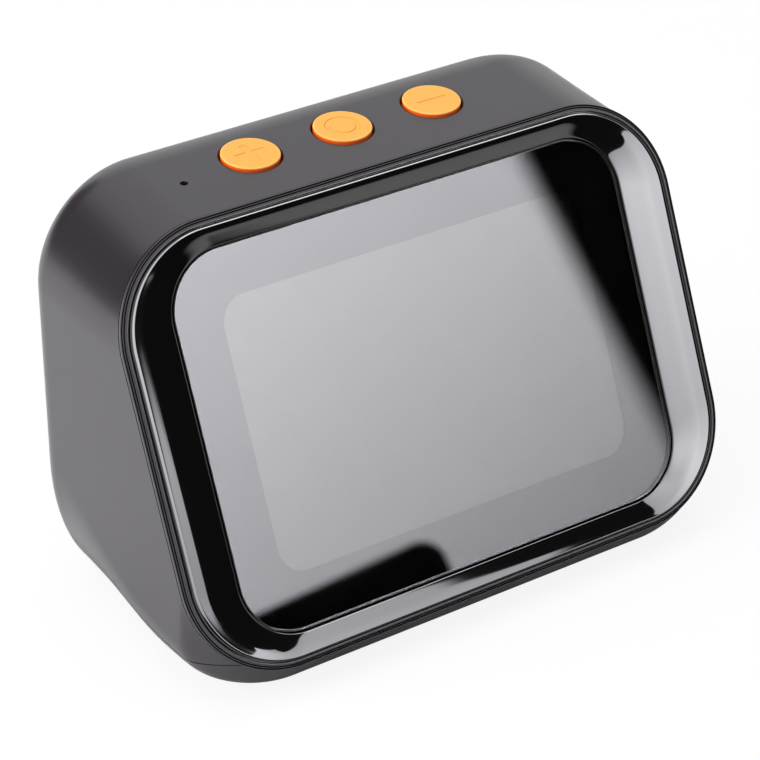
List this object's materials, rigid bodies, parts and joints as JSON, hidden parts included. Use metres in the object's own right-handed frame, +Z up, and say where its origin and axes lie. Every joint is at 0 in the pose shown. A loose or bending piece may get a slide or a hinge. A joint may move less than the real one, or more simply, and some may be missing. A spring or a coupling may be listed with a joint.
{
  "type": "smart speaker clock",
  "caption": "Bedside smart speaker clock: leaning glass front in a gloss bezel, rounded grey housing, round orange top buttons, rear speaker grille and charging inlet.",
  "frame": {"origin": "centre of the bounding box's underside, on the surface that the feet stand on", "axes": "+X to the right when looking at the display, +Y from the display to the rear grille, +Z up"},
  "size_m": [0.1128, 0.0638, 0.0793],
  "materials": {
    "housing_plastic": "satin",
    "gloss_black": "gloss",
    "cover_glass": "gloss",
    "display": "satin",
    "white_plastic": "satin",
    "carrier_plastic": "matte",
    "circuit_board": "satin",
    "black_plastic": "matte",
    "orange_plastic": "satin",
    "plated_steel": "satin",
    "screw_steel": "satin",
    "ferrite": "matte",
    "cone_paper": "matte",
    "spider_cloth": "matte",
    "rubber": "matte",
    "coil_copper": "satin",
    "flex_film": "satin",
    "lead_sleeve": "matte"
  },
  "bodies": {
    "clock": {"rear_shell": "housing_plastic", "base_cover": "housing_plastic", "front_frame": "housing_plastic", "gloss_bezel": "gloss_black", "cover_glass": "cover_glass", "display_panel": "display", "backlight_tray": "white_plastic", "flex_connector": "white_plastic", "display_carrier": "carrier_plastic", "main_board": "circuit_board", "usb_board": "circuit_board", "button_board": "circuit_board", "plus_switch_body": "black_plastic", "round_switch_body": "black_plastic", "minus_switch_body": "black_plastic", "usb_tongue": "black_plastic", "radio_shield_can": "plated_steel", "usb_socket": "plated_steel", "microphone": "plated_steel", "speaker_top_plate": "plated_steel", "speaker_yoke": "plated_steel", "base_screw_1": "screw_steel", "base_screw_2": "screw_steel", "base_screw_3": "screw_steel", "base_screw_4": "screw_steel", "carrier_screw_1": "screw_steel", "carrier_screw_2": "screw_steel", "carrier_screw_3": "screw_steel", "carrier_screw_4": "screw_steel", "board_screw_1": "screw_steel", "board_screw_2": "screw_steel", "button_board_screw_1": "screw_steel", "button_board_screw_2": "screw_steel", "speaker_screw_1": "screw_steel", "speaker_screw_2": "screw_steel", "speaker_screw_3": "screw_steel", "speaker_screw_4": "screw_steel", "usb_board_screw_1": "screw_steel", "usb_board_screw_2": "screw_steel", "speaker_basket": "screw_steel", "speaker_magnet": "ferrite", "front_foot": "rubber", "rear_foot": "rubber", "speaker_gasket": "rubber", "microphone_boot": "rubber", "display_flex": "flex_film", "speaker_lead": "lead_sleeve", "button_lead": "lead_sleeve", "usb_lead": "lead_sleeve"},
    "plus_key": {"plus_button": "orange_plastic", "plus_switch_plunger": "white_plastic"},
    "round_key": {"round_button": "orange_plastic", "round_switch_plunger": "white_plastic"},
    "minus_key": {"minus_button": "orange_plastic", "minus_switch_plunger": "white_plastic"},
    "speaker_moving_parts": {"speaker_cone": "cone_paper", "speaker_dust_cap": "cone_paper", "voice_coil_former": "coil_copper", "speaker_surround": "rubber", "speaker_spider": "spider_cloth"}
  },
  "joints": [
    {"name": "plus_press", "type": "slide", "parent": "clock", "child": "plus_key", "axis": [0, 0.0715, -0.9974], "range_m": [0, 0.0005], "stiffness_N_per_m": 2500},
    {"name": "round_press", "type": "slide", "parent": "clock", "child": "round_key", "axis": [0, 0.0715, -0.9974], "range_m": [0, 0.0005], "stiffness_N_per_m": 2500},
    {"name": "minus_press", "type": "slide", "parent": "clock", "child": "minus_key", "axis": [0, 0.0715, -0.9974], "range_m": [0, 0.0005], "stiffness_N_per_m": 2500},
    {"name": "cone_stroke", "type": "slide", "parent": "clock", "child": "speaker_moving_parts", "axis": [0, 1, 0], "range_m": [-0.0005, 0.0005], "stiffness_N_per_m": 1500}
  ]
}
